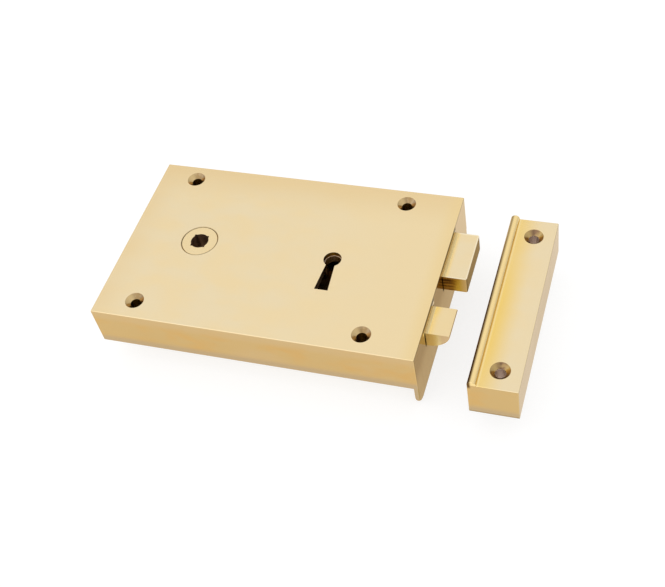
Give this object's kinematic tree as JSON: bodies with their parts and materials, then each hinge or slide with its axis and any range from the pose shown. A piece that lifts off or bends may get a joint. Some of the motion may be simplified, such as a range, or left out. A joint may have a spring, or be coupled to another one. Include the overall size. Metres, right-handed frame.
{
  "type": "rim lock",
  "caption": "Cast rim lock lying on its back: flat case with keyhole and spindle hole, thrown deadbolt, round-nosed latch, wrap-round forend lip and a separate box keep.",
  "frame": {"origin": "middle of the case's four fixing holes, on the plane where its back meets the door", "axes": "+X from the case's far end towards the forend and its bolts, +Y from the latch towards the deadbolt, +Z out of the door, through the visible face"},
  "size_m": [0.1976, 0.1022, 0.034],
  "materials": {
    "polished_brass": "polished, lightly brushed",
    "bolt_brass": "polished",
    "satin_brass": "satin",
    "inner_brass": "stamped, unpolished",
    "bright_steel": "zinc plated",
    "spring_steel": "tempered wire and strip"
  },
  "bodies": {
    "lock_case": {"case": "polished_brass", "cap": "satin_brass", "cap_screws": "bright_steel", "keyhole_collar": "inner_brass", "lever_pivot": "bright_steel", "lever_washers": "bright_steel", "pivot_clip": "bright_steel", "bolt_guide_pin": "bright_steel", "latch_guide": "bright_steel", "guide_screw": "bright_steel", "latch_spring": "spring_steel"},
    "deadbolt": {"deadbolt": "bolt_brass", "bolt_stump": "inner_brass"},
    "follower": {"spindle_follower": "satin_brass"},
    "latch": {"latch_bolt": "bolt_brass", "latch_yoke": "inner_brass", "yoke_rivets": "bright_steel"},
    "lever_1": {"lever_1": "inner_brass", "lever_spring_1": "spring_steel"},
    "lever_2": {"lever_2": "inner_brass", "lever_spring_2": "spring_steel"},
    "lever_3": {"lever_3": "inner_brass", "lever_spring_3": "spring_steel"},
    "keep": {"keep": "polished_brass"}
  },
  "joints": [
    {"name": "deadbolt_slide", "type": "slide", "parent": "lock_case", "child": "deadbolt", "axis": [1, 0, 0], "range_m": [-0.0112, 0]},
    {"name": "follower_turn", "type": "hinge", "parent": "lock_case", "child": "follower", "pos_m": [-0.0372, 0.0005, 0.01], "axis": [0, 0, 1], "range_deg": [-34, 0]},
    {"name": "latch_slide", "type": "slide", "parent": "lock_case", "child": "latch", "axis": [1, 0, 0], "range_m": [-0.0112, 0], "stiffness_N_per_m": 400, "springref_m": 0.012, "deforming": ["latch_spring"]},
    {"name": "lever_1_lift", "type": "hinge", "parent": "lock_case", "child": "lever_1", "pos_m": [-0.0042, 0.0213, 0.01], "axis": [0, 0, 1], "range_deg": [-5.5, 0]},
    {"name": "lever_2_lift", "type": "hinge", "parent": "lock_case", "child": "lever_2", "pos_m": [-0.0042, 0.0213, 0.01], "axis": [0, 0, 1], "range_deg": [-5.5, 0]},
    {"name": "lever_3_lift", "type": "hinge", "parent": "lock_case", "child": "lever_3", "pos_m": [-0.0042, 0.0213, 0.01], "axis": [0, 0, 1], "range_deg": [-5.5, 0]},
    {"name": "keep_slide", "type": "slide", "parent": "lock_case", "child": "keep", "axis": [-0.9619, 0.2736, 0], "range_m": [0, 0.02266]}
  ],
  "couplings": [
    {"joint": "follower_turn", "follows": "latch_slide", "rad_per_m": 52.98},
    {"joint": "lever_2_lift", "follows": "lever_1_lift", "ratio": 1},
    {"joint": "lever_3_lift", "follows": "lever_1_lift", "ratio": 1}
  ]
}
